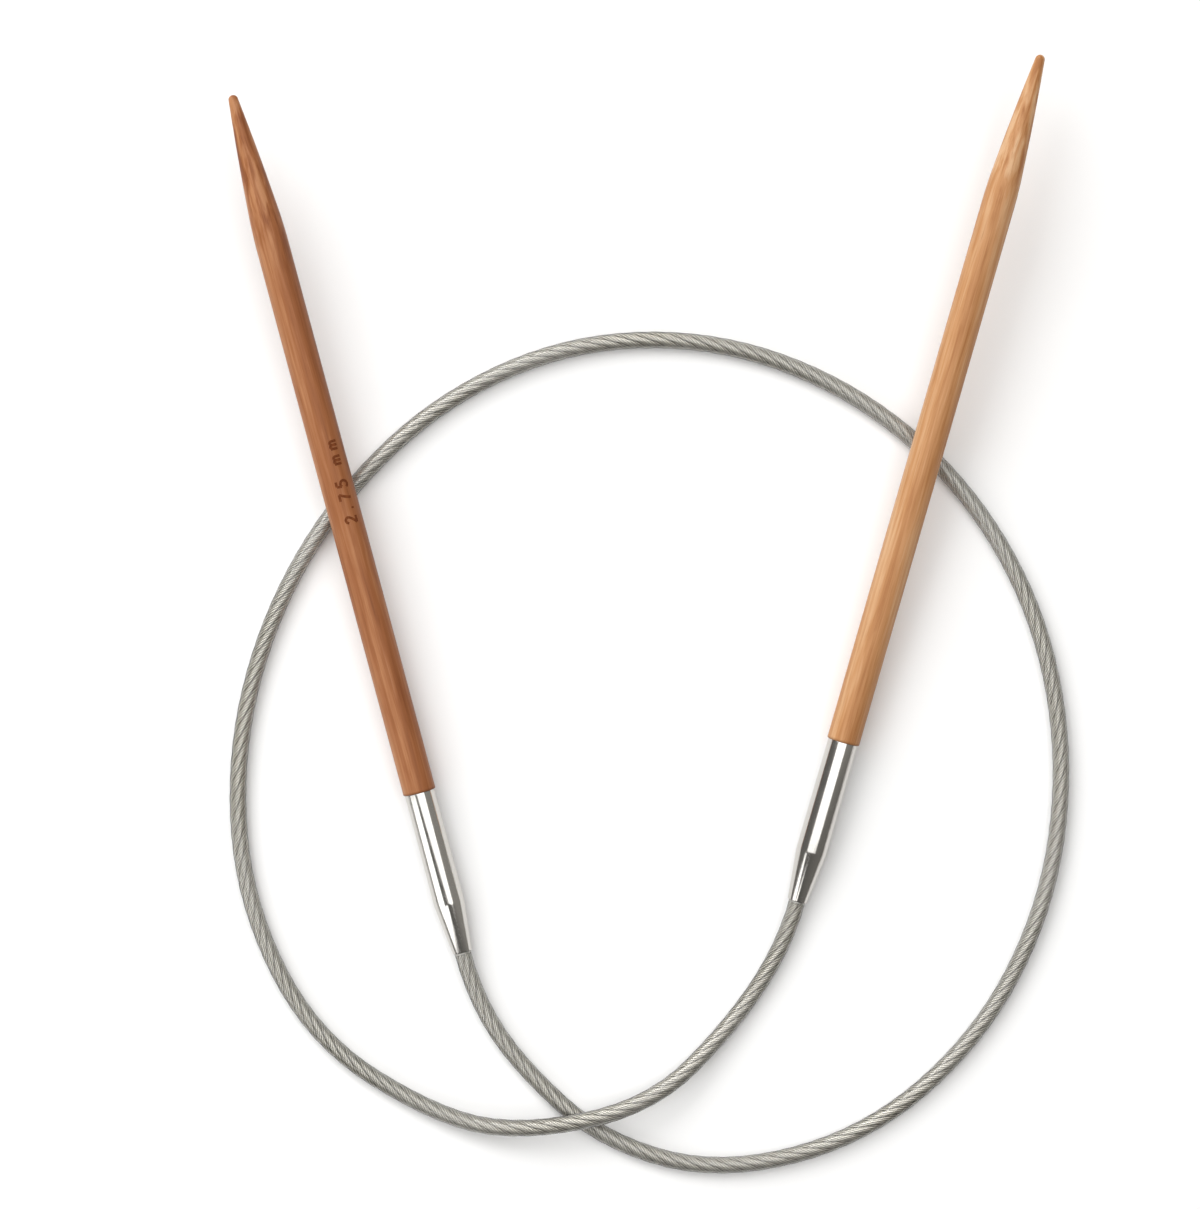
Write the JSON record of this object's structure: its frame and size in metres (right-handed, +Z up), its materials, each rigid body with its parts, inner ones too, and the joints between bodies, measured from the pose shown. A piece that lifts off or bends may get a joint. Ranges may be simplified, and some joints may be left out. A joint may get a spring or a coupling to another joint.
{
  "type": "circular knitting needle",
  "caption": "Circular knitting needle: bamboo points in tapered metal swivel joins, joined by a nylon-coated wire rope lying in a loop.",
  "frame": {"origin": "on the floor, under the middle of the box round the two needle ends (the free cable left out)", "axes": "+Z up from the floor; +Y from the joins toward the points; +X toward the right needle"},
  "size_m": [0.0697, 0.0924, 0.0063],
  "materials": {
    "bamboo_left": "sanded and waxed bamboo, heat-darkened reddish tan",
    "bamboo_right": "sanded and waxed bamboo, lighter honey tan",
    "join_plate": "mirror-polished nickel plate",
    "stem_steel": "polished stainless steel",
    "washer_bronze": "smooth phosphor bronze",
    "plug_brass": "turned brass",
    "rope_steel": "drawn stainless wires, stranded",
    "clear_nylon": "clear, slightly hazy nylon"
  },
  "bodies": {
    "cable": {"wire_rope": "rope_steel", "nylon_jacket": "clear_nylon", "left_swivel_stem": "stem_steel", "right_swivel_stem": "stem_steel"},
    "left_needle": {"left_bamboo_tip": "bamboo_left", "left_join_sleeve": "join_plate", "left_thrust_washer": "washer_bronze", "left_retaining_plug": "plug_brass"},
    "right_needle": {"right_bamboo_tip": "bamboo_right", "right_join_sleeve": "join_plate", "right_thrust_washer": "washer_bronze", "right_retaining_plug": "plug_brass"}
  },
  "joints": [
    {"name": "left_swivel", "type": "hinge", "parent": "cable", "child": "left_needle", "pos_m": [-0.01446, -0.03664, 0.00103], "axis": [-0.2566, 0.9645, 0.0628], "continuous": true},
    {"name": "right_swivel", "type": "hinge", "parent": "cable", "child": "right_needle", "pos_m": [0.01329, -0.03242, 0.00103], "axis": [0.2734, 0.9598, 0.0628], "continuous": true}
  ]
}
